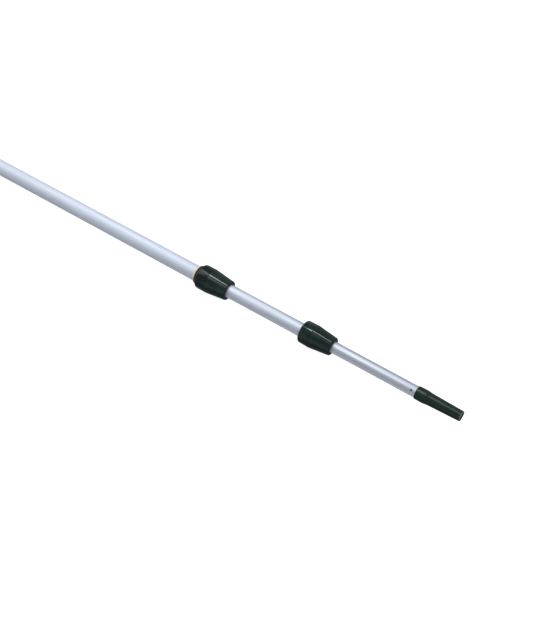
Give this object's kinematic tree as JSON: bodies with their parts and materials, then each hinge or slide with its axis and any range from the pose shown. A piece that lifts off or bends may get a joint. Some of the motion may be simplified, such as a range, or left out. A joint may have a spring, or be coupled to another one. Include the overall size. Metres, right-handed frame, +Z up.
{
  "type": "telescopic window cleaning pole",
  "caption": "Telescopic aluminium pole of sliding round tubes held by fluted twist-lock collars, with a tapered plastic tip for cleaning tools and a flat-sided rubber butt cap.",
  "frame": {"origin": "centre of the pole's length and width, at the level of the floor that it lies on", "axes": "+X along the pole towards the tool tip, +Z up, +Y to the left when looking along +X"},
  "size_m": [1.7782, 0.0478, 0.0474],
  "materials": {
    "anodised_tube": "satin silver anodised, fine lengthwise drawing marks",
    "collar_plastic": "satin moulded plastic, very dark green",
    "tip_plastic": "satin moulded plastic, very dark green",
    "ring_plastic": "matte moulded plastic, tan",
    "natural_acetal": "natural moulded plastic, off-white",
    "black_plastic": "matte black plastic",
    "cap_rubber": "matte rubber, nearly black",
    "steel": "plain zinc-plated steel",
    "dark_steel": "dark oxidised steel"
  },
  "bodies": {
    "outer_section": {"outer_tube": "anodised_tube", "butt_plug": "black_plastic", "butt_cap": "cap_rubber", "butt_pins": "steel", "rear_collar_body": "collar_plastic", "rear_collar_ring": "ring_plastic", "rear_collar_pins": "steel", "rear_collet": "natural_acetal"},
    "rear_wedge": {"rear_wedge_ring": "natural_acetal"},
    "rear_nut": {"rear_lock_nut": "collar_plastic"},
    "middle_section": {"middle_tube": "anodised_tube", "middle_guide_bush": "natural_acetal", "middle_stop_ring": "natural_acetal", "middle_bush_pins": "steel", "front_collar_body": "collar_plastic", "front_collar_pins": "steel", "front_collet": "natural_acetal"},
    "front_wedge": {"front_wedge_ring": "natural_acetal"},
    "front_nut": {"front_lock_nut": "collar_plastic"},
    "inner_section": {"inner_tube": "anodised_tube", "inner_guide_bush": "natural_acetal", "inner_stop_ring": "natural_acetal", "inner_bush_pins": "steel", "tip_cone": "tip_plastic", "tip_pins": "dark_steel"}
  },
  "joints": [
    {"name": "rear_lock_travel", "type": "slide", "parent": "outer_section", "child": "rear_wedge", "axis": [1, 0, 0], "range_m": [0, 0.003]},
    {"name": "rear_lock_turn", "type": "hinge", "parent": "rear_wedge", "child": "rear_nut", "pos_m": [0.3609, 0, 0.0238], "axis": [1, 0, 0], "range_deg": [0, 180]},
    {"name": "middle_slide", "type": "slide", "parent": "outer_section", "child": "middle_section", "axis": [1, 0, 0], "range_m": [-0.158, 0.9229]},
    {"name": "front_lock_travel", "type": "slide", "parent": "middle_section", "child": "front_wedge", "axis": [1, 0, 0], "range_m": [0, 0.003]},
    {"name": "front_lock_turn", "type": "hinge", "parent": "front_wedge", "child": "front_nut", "pos_m": [0.588, 0, 0.0238], "axis": [1, 0, 0], "range_deg": [0, 180]},
    {"name": "inner_slide", "type": "slide", "parent": "middle_section", "child": "inner_section", "axis": [1, 0, 0], "range_m": [-0.1658, 0.9252]}
  ],
  "couplings": [
    {"joint": "rear_lock_turn", "follows": "rear_lock_travel", "rad_per_m": 1047.2},
    {"joint": "front_lock_turn", "follows": "front_lock_travel", "rad_per_m": 1047.2}
  ]
}
